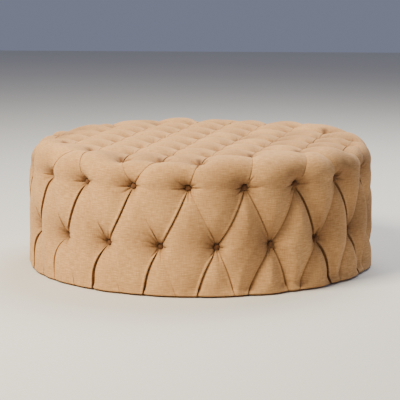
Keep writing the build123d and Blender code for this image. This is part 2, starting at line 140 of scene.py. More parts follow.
# Painted shade along the gathers
WRINKLE_SHADE = 0.74
ROW_GATHERS = {
    "top": [],
    "rim": [(-0.8, 0.055, 0.0, 0.9, 0.0), (-2.4, 0.050, 0.0, 0.7, 0.0)],
    "upper": [(-0.05, 0.038, 0.030, 0.4, 0.6), (pi - 0.05, 0.050, -0.010, 1.0, -0.6)],
    "lower": [(-2.2, 0.055, 0.0, 0.9, -0.4), (-2.7, 0.048, 0.0, 0.9, -0.4)],
}

# Broad valleys between the cells, and the creases of edges that have no fold
VALLEY = {"top": 0.0130, "rim": 0.0095, "side": 0.0095, "hem": 0.0085}
VALLEY_WIDTH = {"top": 0.063, "rim": 0.062, "side": 0.068, "hem": 0.058}
VALLEY_POWER = {"top": 1.9, "rim": 2.0, "side": 2.2, "hem": 2.2}
# Painted shade in the valleys across the top, deepest at the fold
VALLEY_SHADE = 0.38
SOFT_VALLEY = 0.5
RIGHT_RELIEF = 2.7
RIGHT_POWER = 0.5
ACROSS_RELIEF = 1.3
BLEND_POWER = 3
CREASE_SINK = 0.017
CREASE_REACH = 0.034
CREASE_WIDTH = 0.015

# Folds: the step from the cell over a fold to the one under it, its rolled lip, the
# groove beneath and the tucked linen between them
STEP_HEIGHT = {"top": 0.0040, "rim": 0.0030, "side": 0.0058, "hem": 0.0070}
RIGHT_STEP = 0.7
END_STEP = 0.5
RIGHT_FLIP = 30.0
RING_SHARE = 0.5
LIP_WIDTH = 0.020
LIP_POWER = 2.5
LIP_ROLL = 0.0020
LIP_ROLL_WIDTH = 0.0030
GROOVE_SINK = {"top": 0.0060, "rim": 0.0050, "side": 0.0052, "hem": 0.0052}
GROOVE_WIDTH = {"top": 0.0060, "rim": 0.0055, "side": 0.0060, "hem": 0.0060}
GROOVE_POWER = 1.5
HEM_OPENING = 2.4
TUCK = 0.0022
TUCK_FADE = 4.0
TUCK_ROW_SHARE = 0.12
TUCK_DEPTH_SHARE = 0.15

# How sharp folds are along their length. FOLD_ARC is for folds that run down to the
# right: how sharp they are at least at their outer end, and the range of their length
# over which they become so. FLAT_HEM_FOLD is the bearing and sharpness of a flat fold.
TOP_SHARPNESS = 0.13
RIM_FOLD_REACH = 0.070
RIM_SHARPNESS = 0.16
RIM_END_SHARPNESS = 0.80
RIM_END_REACH = 0.034
FOLD_START = (0.006, 0.016)
FAR_FLATTENING = 0.6
FOLD_ARC = {"side": (0.75, 0.60, 0.85), "hem": (0.20, 0.75, 1.0)}
FLAT_HEM_FOLD = (-45.0, 0.30)
BEARING_TOLERANCE = 1.0
END_FADE = 6.0
END_LEAST = 0.3

# How far folds bow aside halfway along. Those that run down to the right have a share of
# the bow of the others.
BOW = 0.004
RIGHTWARD_SHARE = 0.5
RIGHT_BOW = 0.008
RIGHT_BOW_TURN = 30.0
FAR_BOW = 0.020
LEFT_BOW = 0.012
HEM_BOW = 0.009
LEFT_HEM_BOW = 0.018
BOW_WOBBLE = 0.002
BOW_WOBBLE_RATE = 1.7
RIGHT_SPREAD = 0.20

# Painted shade in the folds, and a band of painted shade along the lower edge
FOLD_SHADE = 0.62
FOLD_SHADE_WIDTH = 0.0022
TOP_FOLD_SHADE = 1.0
RIM_FOLD_SHADE = 0.46
END_SHADE = 0.16
END_SHADE_OPENING = 0.7
NOTCH_OPENING = 2.6
SOFT_SHADE = 0.34
SOFT_SHADE_WIDTH = 0.011
HEM_SHADE = 0.07
HEM_SHADE_HEIGHTS = (0.030, 0.055)

# Lower edge, where the relief fades and the linen rolls under
HEM_ROLL = 0.004
HEM_BAND_STEPS = 4
EDGE_RELIEF = 0.35
EDGE_RELIEF_HEIGHT = 0.025

# Slow hills of the filling: two crossed waves, each with its rate, its bend and the
# rate of that bend, and soft spots as bearing, reach, width and sink
UNEVENNESS = 0.0016
WAVE_ACROSS = (23.0, 1.3, 17.0)
WAVE_ALONG = (19.0, 1.7, 13.0)
SOFT_SPOTS = [
    (-86.0, 0.590, 0.100, 0.012),
    (94.0, 0.600, 0.100, 0.006),
    (-150.0, 0.500, 0.200, 0.008),
    (170.0, 0.470, 0.220, -0.004),
]

# Fineness of the mesh
FULL_STEPS = 26
QUARTER_STEPS = FULL_STEPS
STEP_POWER = 1.5
QUARTER_SHARES = (np.arange(QUARTER_STEPS + 1) / QUARTER_STEPS) ** STEP_POWER
LINE_STEPS = 25
LINE_SHARES = np.linspace(0.0, 1.0, LINE_STEPS)
WELD_DISTANCE = 0.00002
LEAST_SQUARE = 1e-12


# The cover's plan: a place is as far from the middle as it is along the crest surface,
# over the top, round the shoulder and down the side.

def plan_point(reach, bearing):
    turn = radians(bearing)
    return (reach * sin(turn), -reach * cos(turn))


def side_place(height, bearing):
    return plan_point(SIDE_START + SHOULDER_BOTTOM - height, bearing)


def reach_and_bearing(place):
    return hypot(place[0], place[1]), degrees(atan2(place[0], -place[1]))


def inner_first(first, second):
    return sorted([first, second], key=lambda place: reach_and_bearing(place)[0])


def signed_turn(bearing, start):
    return (bearing - start + HALF_TURN) % FULL_TURN - HALF_TURN


def cover_points(places, sinks):
    """The points of the cover over places on the plan, sunk below the crests."""
    places = np.asarray(places)
    reach = np.hypot(places[..., 0], places[..., 1])
    turn = np.arctan2(places[..., 0], -places[..., 1])
    bend = np.clip((reach - FLAT_RADIUS) / SHOULDER_RADIUS, 0.0, pi / 2)
    radius = np.minimum(reach, FLAT_RADIUS) + SHOULDER_RADIUS * np.sin(bend)
    height = SHOULDER_BOTTOM + SHOULDER_RADIUS * np.cos(bend)
    height = height - np.maximum(reach - SIDE_START, 0.0)
    share = np.clip((reach - LEAN_START) / (SIDE_START - LEAN_START), 0.0, 1.0)
    lean = share ** 2 * pi / 2
    radius = radius - sinks * np.sin(lean)
    height = height - sinks * np.cos(lean)
    return np.stack([radius * np.sin(turn), -radius * np.cos(turn), height], axis=-1)


def outward(place):
    direction = cover_points(place, 0.0) - cover_points(place, SEAT_SINK)
    return direction / np.linalg.norm(direction)


def soft_step(value, start, end):
    share = np.clip((value - start) / (end - start), 0.0, 1.0)
    return share * share * (3.0 - 2.0 * share)


# Where a bearing lies on the photographed side, from 0 to 1

def range_share(bearing, start, end, behind=0.0):
    facing = signed_turn(bearing, PHOTO_BEARING)
    if abs(facing) > BEHIND:
        return behind
    return min(max((facing - start) / (end - start), 0.0), 1.0)


def right_share(bearing):
    return range_share(bearing, *RIGHT_RANGE, behind=BACK_SHARE)


def far_share(bearing):
    return range_share(bearing, *FAR_RANGE)


def left_share(bearing):
    return range_share(bearing, *LEFT_RANGE)


def end_share(bearing):
    return max(left_share(bearing), far_share(bearing))


# The buttons and the cells between them

def grid_place(corner):
    turn = radians(TOP_TURN)
    x, y = corner[0] * TOP_PITCH, corner[1] * TOP_PITCH
    return (x * cos(turn) - y * sin(turn), x * sin(turn) + y * cos(turn))


def top_grid():
    most = ceil(TOP_REACH / TOP_PITCH)
    span = range(-most, most + 1)
    return {(c, r) for c in span for r in span if hypot(c, r) * TOP_PITCH <= TOP_REACH}


def upper_place(number):
    return side_place(UPPER_ROW_HEIGHT, number * PITCH_ANGLE)


def lower_place(number):
    return side_place(LOWER_ROW_HEIGHT, (number + 0.5) * PITCH_ANGLE)


def hem_place(number, side):
    """Where the fold to the left, -1, or right, 1, of a lower button meets the edge."""
    spread = HEM_SPREAD
    if side < 0:
        spread += RIGHT_SPREAD * right_share((number + 0.5) * PITCH_ANGLE)
    return side_place(FLOOR_GAP, (number + 0.5 + side * spread) * PITCH_ANGLE)


def row_of(place):
    """Which row a button belongs to."""
    reach = hypot(*place)
    if reach < SIDE_START:
        return "rim" if reach > RIM_ROW_REACH else "top"
    return "upper" if reach < SIDE_START + TOP_PITCH else "lower"


def grid_squares(grid):
    squares = []
    for column, row in sorted(grid):
        corners = [(column, row), (column + 1, row), (column + 1, row + 1), (column, row + 1)]
        if all(corner in grid for corner in corners):
            squares.append(corners)
    return squares


def rim_loop(squares):
    """The corners round all the squares, in order."""
    edges = set()
    for corners in squares:
        edges.update(zip(corners, corners[1:] + corners[:1]))
    follow = {start: end for start, end in edges if (end, start) not in edges}
    loop = [min(follow)]
    while follow[loop[-1]] != loop[0]:
        loop.append(follow[loop[-1]])
    return loop


def turns_inward(before, corner, after):
    run = (corner[0] - before[0], corner[1] - before[1])
    turn = (after[0] - corner[0], after[1] - corner[1])
    return run[0] * turn[1] - run[1] * turn[0] < 0


def rim_links(loop):
    """Pairs of a corner of the loop and an upper side button that share a fold."""
    bearings = {}
    for index, corner in enumerate(loop):
        if not turns_inward(loop[index - 1], corner, loop[(index + 1) % len(loop)]):
            bearings[index] = reach_and_bearing(grid_place(corner))[1]
    links = set()
    for number in range(SIDE_BUTTONS):
        turns = {i: abs(signed_turn(bearings[i], number * PITCH_ANGLE)) for i in bearings}
        links.add((min(turns, key=turns.get), number))
    for index in bearings:
        if all(index != link[0] for link in links):
            links.add((index, round(bearings[index] / PITCH_ANGLE) % SIDE_BUTTONS))

    def order(link):
        shift = signed_turn(link[1] * PITCH_ANGLE, bearings[link[0]])
        return (bearings[link[0]] + shift / 2) % FULL_TURN

    return sorted(links, key=order)


# A cell is a loop of (kind of corner, place, kind of edge to the next corner). A corner
# is a button or the end of a fold. The edges top, rim, side and hem are folds, crease is
# a short crease at each end, and edge is the lower edge.

def square_cells(squares):
    return [[("button", grid_place(c), "top") for c in corners] for corners in squares]


def rim_cells(loop, links):
    cells = []
    for (index, number), (next_index, next_number) in zip(links, links[1:] + links[:1]):
        steps = (next_index - index) % len(loop)
        places = [grid_place(loop[(index + step) % len(loop)]) for step in range(steps + 1)]
        cell = [("button", place, "top") for place in places[:-1]]
        cell.append(("button", places[-1], "rim"))
        if next_number != number:
            cell.append(("button", upper_place(next_number), "crease"))
        cell.append(("button", upper_place(number), "rim"))
        cells.append(cell)
    return cells


def side_cells():
    cells = []
    for number in range(SIDE_BUTTONS):
        cells.append([
            ("button", upper_place(number), "crease"),
            ("button", upper_place(number + 1), "side"),
            ("button", lower_place(number), "side"),
        ])
        cells.append([
            ("button", upper_place(number), "side"),
            ("button", lower_place(number), "hem"),
            ("end", hem_place(number, -1), "edge"),
            ("end", hem_place(number - 1, 1), "hem"),
            ("button", lower_place(number - 1), "side"),
        ])
        cells.append([
            ("button", lower_place(number), "hem"),
            ("end", hem_place(number, 1), "edge"),
            ("end", hem_place(number, -1), "hem"),
        ])
    return cells


def edges_of(cell):
    """The start, end and kind of each edge of a cell."""
    return [(a, b, edge) for (_, a, edge), (_, b, _) in zip(cell, cell[1:] + cell[:1])]


def folds_of(cell):
    return [edge for edge in edges_of(cell) if edge[2] not in ("crease", "edge")]


def middle_of(cell):
    return np.mean([np.asarray(place) for _, place, _ in cell], axis=0)


def runs_left(cell):
    """Whether the corners of a cell run anticlockwise on the plan."""
    return sum(a[0] * b[1] - a[1] * b[0] for a, b, _ in edges_of(cell)) > 0


def key_of(place):
    """The same whole numbers for the same place, whichever cell it belongs to."""
    return (round(place[0] * PLACES_PER_METRE), round(place[1] * PLACES_PER_METRE))


def folds_across(cells):
    """For each cell, by its place in the list, the folds of the cells across its creases."""
    sharing = {}
    for index, cell in enumerate(cells):
        for start, end, edge in edges_of(cell):
            if edge == "crease":
                sharing.setdefault(frozenset([key_of(start), key_of(end)]), []).append(index)
    across = {index: [] for index in range(len(cells))}
    for first, second in sharing.values():
        across[first] += folds_of(cells[second])
        across[second] += folds_of(cells[first])
    return across


# Folds

def edge_bow(start, end, kind):
    """How far an edge bows towards larger bearings halfway along."""
    if kind not in ("side", "hem", "rim"):
        return 0.0
    inner, outer = inner_first(start, end)
    bearing = reach_and_bearing(inner)[1]
    wobble = sin(bearing * BOW_WOBBLE_RATE) * BOW_WOBBLE
    if kind == "rim":
        return wobble
    facing = signed_turn(bearing, PHOTO_BEARING)
    bow = BOW + RIGHT_BOW * min(max(facing / RIGHT_BOW_TURN, 0.0), 1.0)
    if signed_turn(reach_and_bearing(outer)[1], bearing) >= 0:
        return RIGHTWARD_SHARE * bow + FAR_BOW * far_share(bearing) + wobble
    if kind == "hem":
        return -HEM_BOW - LEFT_HEM_BOW * left_share(bearing) ** 2 + wobble
    return bow - LEFT_BOW * left_share(bearing) ** 2 + wobble


def along(start, end, share, kind):
    """A place part of the way along an edge."""
    share = np.asarray(share)[..., None]
    if kind == "top":
        return np.asarray(start) * (1.0 - share) + np.asarray(end) * share
    reach_a, bearing_a = reach_and_bearing(start)
    reach_b, bearing_b = reach_and_bearing(end)
    turn = signed_turn(bearing_b, bearing_a)
    reach = reach_a + (reach_b - reach_a) * share
    bearing = np.radians(bearing_a + turn * share)
    bow = edge_bow(start, end, kind) * np.sin(pi * share) / CREST_RADIUS
    return np.concatenate([reach * np.sin(bearing + bow), -reach * np.cos(bearing + bow)], -1)


def polyline_distance(points, line):
    """The least distance from each point to a line of points, and how far along that is."""
    starts, steps = line[:-1], np.diff(line, axis=0)
    lengths = np.maximum((steps ** 2).sum(-1), LEAST_SQUARE)
    gaps = points[:, None, :] - starts[None]
    share = np.clip((gaps * steps[None]).sum(-1) / lengths[None], 0.0, 1.0)
    gaps = gaps - share[..., None] * steps[None]
    distance = np.sqrt((gaps ** 2).sum(-1))
    nearest = distance.argmin(-1)
    rows = np.arange(len(points))
    return distance[rows, nearest], (nearest + share[rows, nearest]) / len(steps)


class Fold:
    """An edge between two cells, as it is felt at places on the crest surface."""

    def __init__(self, crest, start, end, edge):
        self.edge = edge
        self.line = along(start, end, LINE_SHARES, edge)
        self.bearing = reach_and_bearing(self.line[LINE_STEPS // 2])[1]
        run = np.abs(self.line[-1] - self.line[0])
        self.across = edge == "top" and run[0] > run[1]
        points = cover_points(self.line, 0.0)
        self.length = np.linalg.norm(points[0] - points[-1])
        # whole runs along the fold from its start, and outer_share from its inner end
        self.distance, self.whole = polyline_distance(crest, points)
        starts_inside = hypot(*self.line[0]) < hypot(*self.line[-1])
        self.outer_share = self.whole if starts_inside else 1.0 - self.whole
        self.sharp = self.sharpness()
        # A hem fold opens towards the lower edge, and the others fade at their outer end
        self.ends = 1.0
        self.opening = 1.0
        if edge == "hem":
            self.opening = 1.0 + (HEM_OPENING - 1.0) * self.outer_share ** 2
        else:
            self.ends = np.clip((1.0 - self.outer_share) * END_FADE, END_LEAST, 1.0)

    def sharpness(self):
        """How sharp the fold is along its length, from 0 to 1."""
        inner, outer = inner_first(self.line[0], self.line[-1])
        from_inner = self.outer_share * self.length
        from_outer = (1.0 - self.outer_share) * self.length
        if self.edge == "top":
            sharp = np.full(len(self.outer_share), TOP_SHARPNESS)
            if row_of(outer) == "rim":
                sharp = np.maximum(sharp, np.exp(-from_outer / RIM_FOLD_REACH))
            if row_of(inner) == "rim":
                sharp = np.maximum(sharp, np.exp(-from_inner / RIM_FOLD_REACH))
            return sharp
        if self.edge == "rim":
            near_end = np.exp(-(from_outer / RIM_END_REACH) ** 2)
            return RIM_SHARPNESS + RIM_END_SHARPNESS * near_end
        if self.edge == "crease":
            return 0.0
        begins = soft_step(from_inner, *FOLD_START)
        bearing = reach_and_bearing(inner)[1]
        if signed_turn(reach_and_bearing(outer)[1], bearing) < 0:
            flat_bearing, flat_share = FLAT_HEM_FOLD
            off_flat = abs(signed_turn(bearing, flat_bearing))
            if self.edge == "hem" and off_flat < BEARING_TOLERANCE:
                return begins * flat_share
            return begins * (1.0 - FAR_FLATTENING * far_share(bearing))
        most, start, end = FOLD_ARC[self.edge]
        arc = most * soft_step(self.outer_share, start, end)
        return begins * np.maximum(right_share(bearing), arc)

    def crease_sink(self):
        """How far the linen sinks in the short creases at both ends."""
        from_end = np.minimum(self.whole, 1.0 - self.whole) * self.length
        depth = CREASE_SINK * np.exp(-from_end / CREASE_REACH)
        return depth * np.exp(-(self.distance / CREASE_WIDTH) ** 2)

    def valley_sink(self):
        """How far the linen sinks in the broad valley of the fold."""
        depth = VALLEY[self.edge]
        power = VALLEY_POWER[self.edge]
        if self.across:
            depth = depth * ACROSS_RELIEF
        if self.edge in ("side", "hem"):
            right = right_share(self.bearing)
            depth = depth * (1.0 + RIGHT_RELIEF * right)
            depth = depth * (SOFT_VALLEY + (1.0 - SOFT_VALLEY) * self.sharp)
            power = power - RIGHT_POWER * right
        return depth * np.clip(1.0 - self.distance / VALLEY_WIDTH[self.edge], 0.0, 1.0) ** power

    def step_sink(self, over):
        """How far the step lowers the linen under the fold, or lifts it over the fold."""
        near = np.clip(1.0 - self.distance / LIP_WIDTH, 0.0, 1.0) ** LIP_POWER
        rise = STEP_HEIGHT[self.edge] / 2 * self.sharp * self.ends * near
        if self.edge in ("side", "hem"):
            rise = rise * (1.0 + RIGHT_STEP * right_share(self.bearing))
            rise = rise * (1.0 + END_STEP * end_share(self.bearing))
        if over:
            roll = np.exp(-((self.distance - LIP_ROLL_WIDTH) / LIP_ROLL_WIDTH) ** 2)
            return -(rise + LIP_ROLL * self.sharp * self.ends * roll)
        width = GROOVE_WIDTH[self.edge] * self.opening
        groove = np.clip(1.0 - self.distance / width, 0.0, 1.0) ** GROOVE_POWER
        return rise + GROOVE_SINK[self.edge] * self.sharp * self.opening * self.ends * groove

    def shade(self):
        """How much painted shade the linen under the fold gets."""
        end = end_share(self.bearing)
        opening = self.opening * (1.0 + END_SHADE_OPENING * end)
        most = FOLD_SHADE + END_SHADE * end
        soft = 0.0
        if self.edge == "top":
            most = TOP_FOLD_SHADE
            opening = 1.0 + NOTCH_OPENING * self.sharp
        if self.edge == "rim":
            most = RIM_FOLD_SHADE
        if self.edge == "side":
            soft = SOFT_SHADE * right_share(self.bearing)
        if self.edge == "hem":
            soft = SOFT_SHADE * self.outer_share
        dark = most * np.exp(-(self.distance / (FOLD_SHADE_WIDTH * opening)) ** 2)
        dark = np.maximum(dark, soft * np.exp(-(self.distance / SOFT_SHADE_WIDTH) ** 2))
        return dark * self.sharp * self.ends


def lies_over(cell_middle, line):
    """Whether a cell overlaps a fold, or lies beneath it."""
    middle = line[LINE_STEPS // 2]
    reach, bearing = reach_and_bearing(middle)
    cell_reach, cell_bearing = reach_and_bearing(cell_middle)
    # On the flat top, the cell to the left or further back is the one over the fold
    if min(reach, cell_reach) < FLAT_FOLD_REACH:
        ends = line[-1] - line[0]
        if abs(ends[0]) < abs(ends[1]):
            return cell_middle[0] < middle[0]
        return cell_middle[1] > middle[1]
    turn = radians(signed_turn(cell_bearing, bearing)) * cell_reach
    inner, outer = inner_first(line[0], line[-1])
    inner_reach, inner_bearing = reach_and_bearing(inner)
    facing = signed_turn(inner_bearing, PHOTO_BEARING)
    runs_right = signed_turn(reach_and_bearing(outer)[1], inner_bearing) > 0
    # At the right, side folds that run down to the right lie the other way round
    if inner_reach > SIDE_START and runs_right and RIGHT_FLIP < facing < BEHIND:
        return turn > 0
    # Of cells in and out from a fold the inner one is over it, and of cells beside it the
    # one with the lower bearing
    if abs(turn) < abs(cell_reach - reach) * RING_SHARE:
        return cell_reach < reach
    return turn < 0


# Wells

def offsets(places, centre):
    """How far places lie to the right of a button, and outwards or down from it."""
    if row_of(centre) == "top":
        return places[:, 0] - centre[0], centre[1] - places[:, 1]
    reach, bearing = reach_and_bearing(centre)
    turn = np.arctan2(places[:, 0], -places[:, 1]) - radians(bearing)
    turn = (turn + pi) % (2 * pi) - pi
    radius = np.hypot(*cover_points(centre, 0.0)[:2])
    return turn * radius, np.hypot(places[:, 0], places[:, 1]) - reach


def leaning_distance(places, centre, distance, lean):
    """The distance from a button, shortened on the side to which its well reaches further."""
    across, down = offsets(places, centre)
    side = 1.0 - 2.0 * far_share(reach_and_bearing(centre)[1])
    run = np.maximum(np.hypot(across, down), LEAST_DISTANCE)
    way = (side * across + LEAN_DOWN * down) / run
    return WELL_START + (distance - WELL_START) * (1.0 + lean * way)


def well_share(distance, place):
    """How much of the seat's sink a well has at a distance from its button."""
    fall = WELL_FALL[row_of(place)]
    if row_of(place) in ("upper", "lower"):
        fall = fall * (1.0 + RIGHT_WELL * right_share(reach_and_bearing(place)[1]))
    beyond = np.maximum(distance - WELL_START, 0.0)
    return (WELL_STEEP_SHARE * np.exp(-beyond / WELL_STEEP_FALL)
            + (1.0 - WELL_STEEP_SHARE) * np.exp(-beyond / fall))


def gathers(centre):
    """The angle, reach and strength of each gather that runs out of a well."""
    key = key_of(centre)
    noise = np.random.default_rng(SEED + abs(key[0]) * SEED_STEP + abs(key[1]))
    found = []
    for number in range(WRINKLES):
        angle = 2 * pi * (number + noise.uniform(-WRINKLE_TURN, WRINKLE_TURN)) / WRINKLES
        found.append((angle, noise.uniform(*WRINKLE_REACH), noise.uniform(*WRINKLE_STRENGTH)))
    bearing = reach_and_bearing(centre)[1]
    right = right_share(bearing)
    row = row_of(centre)
    near = 1.0 - far_share(bearing) if row == "upper" else 1.0
    for angle, reach, more_reach, strength, more_strength in ROW_GATHERS[row]:
        strength = (strength + more_strength * right) * near
        found.append((angle, reach + more_reach * right, strength))
    return found


def well_wrinkles(places, centre, distance):
    """Sharp gathers that run out of a well like a star, from 0 to 1."""
    across, down = offsets(places, centre)
    angle = np.arctan2(down, across)
    share = np.zeros(len(places))
    for way, reach, strength in gathers(centre):
        turn = (angle - way + pi) % (2 * pi) - pi
        aside = np.where(np.abs(turn) < pi / 2, distance * np.sin(np.abs(turn)), distance)
        run = np.clip(1.0 - distance / reach, 0.0, 1.0) ** WRINKLE_POWER
        share = np.maximum(share, strength * run * np.exp(-(aside / WRINKLE_WIDTH) ** 2))
    return share * np.clip((distance - BUTTON_RADIUS) / WRINKLE_START, 0.0, 1.0)


def notch_share(places, centre):
    """Painted shadow on the inner wall of a well at the photographed rim, from 0 to 1."""
    reach, bearing = reach_and_bearing(centre)
    if not LEAN_START < reach < SIDE_START or abs(signed_turn(bearing, PHOTO_BEARING)) > BEHIND:
        return np.zeros(len(places))
    across, down = offsets(places, centre)
    turn = radians(min(max(NOTCH_TURN - bearing, 0.0), NOTCH_MOST_TURN))
    inward = np.maximum(-down * cos(turn) - across * sin(turn), 0.0)
    aside = across * cos(turn) - down * sin(turn)
    width = NOTCH_WIDTH + NOTCH_FLARE * inward
    run = soft_step(inward, 0.0, NOTCH_START) * (1.0 - soft_step(inward, *NOTCH_FADE))
    return run * np.exp(-(aside / width) ** 2)


def well_shade(places, centre, distance):
    """How much painted shade a well gets, without its gathers."""
    power = WELL_SHADE_POWER - RIGHT_SHADE_POWER * right_share(reach_and_bearing(centre)[1])
    if row_of(centre) == "rim":
        power = RIM_SHADE_POWER
    leaning = leaning_distance(places, centre, distance, WELL_SHADE_LEAN)
    shade = well_share(leaning, centre) ** power
    return np.maximum(shade, NOTCH_SHADE * notch_share(places, centre))


# How far the linen lies below the crests

def unevenness(places):
    """Slow hills of a hand-filled cover."""
    x, y = places[:, 0], places[:, 1]
    rate, bend, bend_rate = WAVE_ACROSS
    waves = np.sin(x * rate + bend * np.sin(y * bend_rate))
    rate, bend, bend_rate = WAVE_ALONG
    waves = waves * np.cos(y * rate + bend * np.sin(x * bend_rate))
    total = UNEVENNESS * waves
    for bearing, reach, width, sink in SOFT_SPOTS:
        centre = plan_point(reach, bearing)
        total += sink * np.exp(-((x - centre[0]) ** 2 + (y - centre[1]) ** 2) / width ** 2)
    return total


def fold_sinks(crest, cell, beyond):
    """How far the folds of a cell sink its linen, and the painted shade they give it."""
    middle = middle_of(cell)
    powers, steps, shade = np.zeros((3, len(crest)))
    for start, end, edge in edges_of(cell):
        if edge == "edge":
            continue
        fold = Fold(crest, start, end, edge)
        if edge == "crease":
            powers += fold.crease_sink() ** BLEND_POWER
            continue
        valley = fold.valley_sink()
        powers += valley ** BLEND_POWER
        if fold.across:
            shade = np.maximum(shade, VALLEY_SHADE * valley / VALLEY["top"] / ACROSS_RELIEF)
        over = lies_over(middle, fold.line)
        steps += fold.step_sink(over)
        if not over:
            shade = np.maximum(shade, fold.shade())
    for start, end, edge in beyond:
        powers += Fold(crest, start, end, edge).valley_sink() ** BLEND_POWER
    return powers ** (1.0 / BLEND_POWER) + steps, shade


def cell_sinks(places, cell, beyond):
    """How far the linen sinks at places inside one cell, and its painted shade there."""
    crest = cover_points(places, 0.0)
    height = crest[:, 2]
    total, shade = fold_sinks(crest, cell, beyond)
    risen = soft_step(height, FLOOR_GAP, FLOOR_GAP + EDGE_RELIEF_HEIGHT)
    relief = EDGE_RELIEF + (1.0 - EDGE_RELIEF) * risen
    total = total * relief + unevenness(places)
    for kind, place, _ in cell:
        if kind != "button":
            continue
        distance = np.linalg.norm(crest - cover_points(place, 0.0), axis=-1)
        well = well_share(leaning_distance(places, place, distance, WELL_LEAN), place)
        wrinkles = well_wrinkles(places, place, distance)
        total = total * (1.0 - well) + SEAT_SINK * well + WRINKLE_SINK * wrinkles
        shade = np.maximum(shade, well_shade(places, place, distance))
        shade = np.maximum(shade, WRINKLE_SHADE * wrinkles)
    # A band of painted shade along the lower edge
    shade = np.maximum(shade, HEM_SHADE * (1.0 - soft_step(height, *HEM_SHADE_HEIGHTS)))
    roll = np.clip(1.0 - (height - FLOOR_GAP) / HEM_ROLL, 0.0, 1.0)
    total = np.minimum(total, MOST_SINK) + HEM_ROLL / 2 * (1.0 - np.sqrt(1.0 - roll ** 2))
    return total, np.minimum(shade, 1.0)


# Mesh of the cover

class Cover:
    """The points, quads, texture places and painted shades of the cover, as they are added."""

    def __init__(self):
        self.points = []
        self.faces = []
        self.uvs = []
        self.shades = []
        self.count = 0
        self.half_folds = {}

    def add_grid(self, points, uvs, shades):
        """Add a grid of points, and return the grid of their numbers."""
        rows, columns = points.shape[:2]
        numbers = self.count + np.arange(rows * columns).reshape(rows, columns)
        self.points.append(points.reshape(-1, 3))
        self.uvs.append(uvs.reshape(-1, 2))
        self.shades.append(shades.reshape(-1))
        self.count += rows * columns
        return numbers

    def add_quads(self, numbers):
        corners = [numbers[:-1, :-1], numbers[1:, :-1], numbers[1:, 1:], numbers[:-1, 1:]]
        self.faces.append(np.stack(corners, -1).reshape(-1, 4))


def quarter_places(corner, line_a, line_b, crest):
    """Places over one corner's part of a cell, closer together near folds and wells."""
    ring_a = line_a[-1] + (crest - line_a[-1]) * QUARTER_SHARES[:, None]
    ring_b = line_b[-1] + (crest - line_b[-1]) * QUARTER_SHARES[:, None]
    u, v = QUARTER_SHARES[:, None, None], QUARTER_SHARES[None, :, None]
    return ((1.0 - v) * line_a[:, None] + v * ring_b[:, None]
            + (1.0 - u) * line_b[None, :] + u * ring_a[None, :]
            - (1.0 - u) * (1.0 - v) * corner - u * (1.0 - v) * line_a[-1]
            - (1.0 - u) * v * line_b[-1] - u * v * crest)


def cell_uvs(places, cell):
    """Where the weave runs: straight over the top, and round the side."""
    if all(edge == "top" for _, _, edge in cell):
        return places
    reach = np.hypot(places[..., 0], places[..., 1])
    turn = np.arctan2(places[..., 0], -places[..., 1])
    return np.stack([turn * CREST_RADIUS, reach], axis=-1)


def add_cell(cover, cell, beyond):
    middle = middle_of(cell)
    for index, (_, place, edge) in enumerate(cell):
        _, before, edge_before = cell[index - 1]
        after = cell[(index + 1) % len(cell)][1]
        line_a = along(place, after, QUARTER_SHARES / 2, edge)
        line_b = along(place, before, QUARTER_SHARES / 2, edge_before)
        places = quarter_places(np.asarray(place), line_a, line_b, middle)
        flat = places.reshape(-1, 2)
        sinks, shades = cell_sinks(flat, cell, beyond)
        points = cover_points(flat, sinks).reshape(*places.shape[:2], 3)
        numbers = cover.add_grid(points, cell_uvs(places, cell), shades)
        cover.add_quads(numbers if runs_left(cell) else numbers.T)
        add_edge(cover, place, after, edge, numbers[:, 0], points[:, 0], middle)
        add_edge(cover, place, before, edge_before, numbers[0], points[0], middle)


def add_edge(cover, place, other, edge, numbers, points, middle):
    """Note half a fold of a cell for its tuck, or turn the lower edge under."""
    if edge == "edge":
        add_hem_band(cover, points)
    elif edge != "crease":
        over = lies_over(middle, along(place, other, LINE_SHARES, edge))
        entry = cover.half_folds.setdefault((key_of(place), key_of(other)), [])
        entry.append((over, edge, numbers, middle))


def add_hem_band(cover, edge_points):
    """The lower edge of the linen, turned under the base."""
    reach = np.hypot(edge_points[:, 0], edge_points[:, 1])[:, None]
    inner = edge_points * (CREST_RADIUS - HEM_WIDTH) / reach
    shares = np.linspace(0.0, 1.0, HEM_BAND_STEPS)[:, None, None]
    rows = edge_points * (1.0 - shares) + inner * shares
    rows[..., 2] = FLOOR_GAP
    cover.add_quads(cover.add_grid(rows, rows[..., :2], np.zeros(rows.shape[:2])))


def add_folds(cover):
    """The tucked linen between the cell over each fold and the cell under it."""
    points = np.concatenate(cover.points)
    uvs = np.concatenate(cover.uvs)
    shades = np.concatenate(cover.shades)
    for entries in cover.half_folds.values():
        if len(entries) != 2:
            continue
        first, second = entries
        upper, lower = (second, first) if second[0] and not first[0] else (first, second)
        _, edge, over, middle = upper
        under = lower[2]
        top, low = points[over], points[under]
        toward = cover_points(middle, 0.0) - low
        toward /= np.linalg.norm(toward, axis=-1)[:, None]
        shares = np.linspace(0.0, 1.0, len(top))
        fade = np.clip(shares * TUCK_FADE, 0.0, 1.0)[:, None]
        reach = TUCK if edge != "top" else 0.0
        tuck = low + (low - top) * TUCK_DEPTH_SHARE + toward * reach * fade
        rows = np.stack([top, top + (tuck - top) * TUCK_ROW_SHARE, tuck, low])
        row_uvs = np.stack([uvs[over], uvs[over], uvs[over], uvs[under]])
        # The tuck takes the painted shade of the cell under the fold from just below its lip
        row_shades = np.stack([shades[over], shades[under], shades[under], shades[under]])
        cover.add_quads(cover.add_grid(rows, row_uvs, row_shades))


def make_object(name, points, faces):
    mesh = bpy.data.meshes.new(name)
    mesh.from_pydata(points, [], faces)
    mesh.update()
    made = bpy.data.objects.new(name, mesh)
    bpy.context.scene.collection.objects.link(made)
    return made


def smooth(made):
    for polygon in made.data.polygons:
        polygon.use_smooth = True


